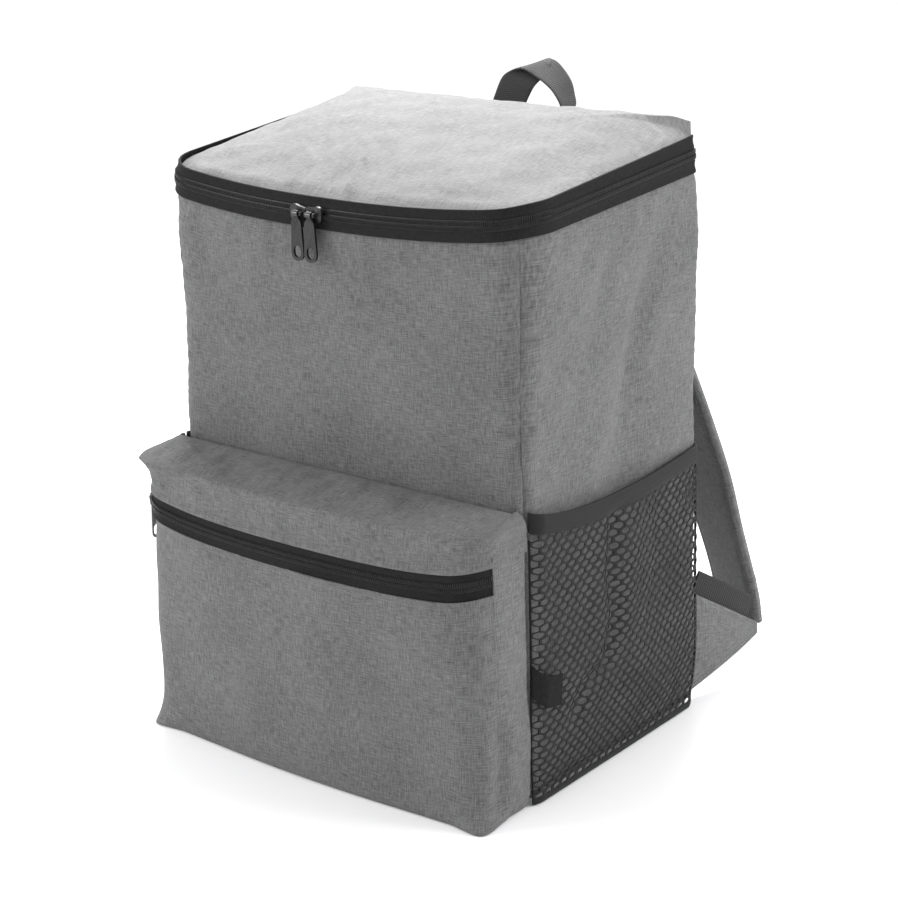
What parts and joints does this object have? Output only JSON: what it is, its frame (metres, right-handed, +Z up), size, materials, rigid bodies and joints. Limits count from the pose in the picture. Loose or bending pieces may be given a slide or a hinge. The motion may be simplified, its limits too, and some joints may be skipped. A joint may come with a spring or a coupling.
{
  "type": "cooler backpack",
  "caption": "Upright padded cooler backpack with a zipped domed lid, a boxed front pocket, net side pockets, a webbing handle and padded shoulder straps.",
  "frame": {"origin": "centre of the flat underside of the base", "axes": "+Z up the bag, -Y out of the front pocket, +X to the right as seen from the front"},
  "size_m": [0.2976, 0.3603, 0.4188],
  "materials": {
    "cloth": "melange woven polyester, matte",
    "lid_cloth": "melange woven polyester, matte",
    "tape": "smooth woven zip tape",
    "coil": "moulded zip teeth",
    "net": "open knitted net",
    "webbing": "ribbed woven webbing",
    "black_metal": "black painted zinc",
    "steel": "bare plated zinc",
    "plastic": "moulded plastic"
  },
  "bodies": {
    "bag": {"front_panel": "cloth", "side_panel_right": "cloth", "side_panel_left": "cloth", "back_panel": "cloth", "base_panel": "cloth", "lid_panel": "lid_cloth", "main_zip_tape_lower": "tape", "main_zip_tape_upper": "tape", "pocket_zip_tape_lower": "tape", "pocket_zip_tape_upper": "tape", "seam_label": "tape", "main_zip_coil": "coil", "pocket_zip_coil": "coil", "main_slider_left": "black_metal", "main_slider_right": "black_metal", "pocket_slider": "black_metal", "pocket_front": "cloth", "pocket_top": "cloth", "mesh_pocket_right": "net", "mesh_band_right": "webbing", "shoulder_strap_right": "cloth", "strap_wing_right": "cloth", "strap_webbing_right": "webbing", "strap_buckle_right": "plastic", "mesh_pocket_left": "net", "mesh_band_left": "webbing", "shoulder_strap_left": "cloth", "strap_wing_left": "cloth", "strap_webbing_left": "webbing", "strap_buckle_left": "plastic", "top_handle": "webbing"},
    "pull_left": {"main_pull_left": "black_metal"},
    "pull_right": {"main_pull_right": "black_metal"},
    "pull_pocket": {"pocket_pull": "steel"}
  },
  "joints": [
    {"name": "main_pull_left_hinge", "type": "hinge", "parent": "bag", "child": "pull_left", "pos_m": [-0.0158, -0.10623, 0.35403], "axis": [-1, 0, 0], "range_deg": [0, 110]},
    {"name": "main_pull_right_hinge", "type": "hinge", "parent": "bag", "child": "pull_right", "pos_m": [-0.0054, -0.10623, 0.354], "axis": [-1, 0, 0], "range_deg": [0, 110]},
    {"name": "pocket_pull_hinge", "type": "hinge", "parent": "bag", "child": "pull_pocket", "pos_m": [-0.14628, -0.11646, 0.1527], "axis": [-0.1253, 0.9921, 0], "range_deg": [0, 110]}
  ]
}
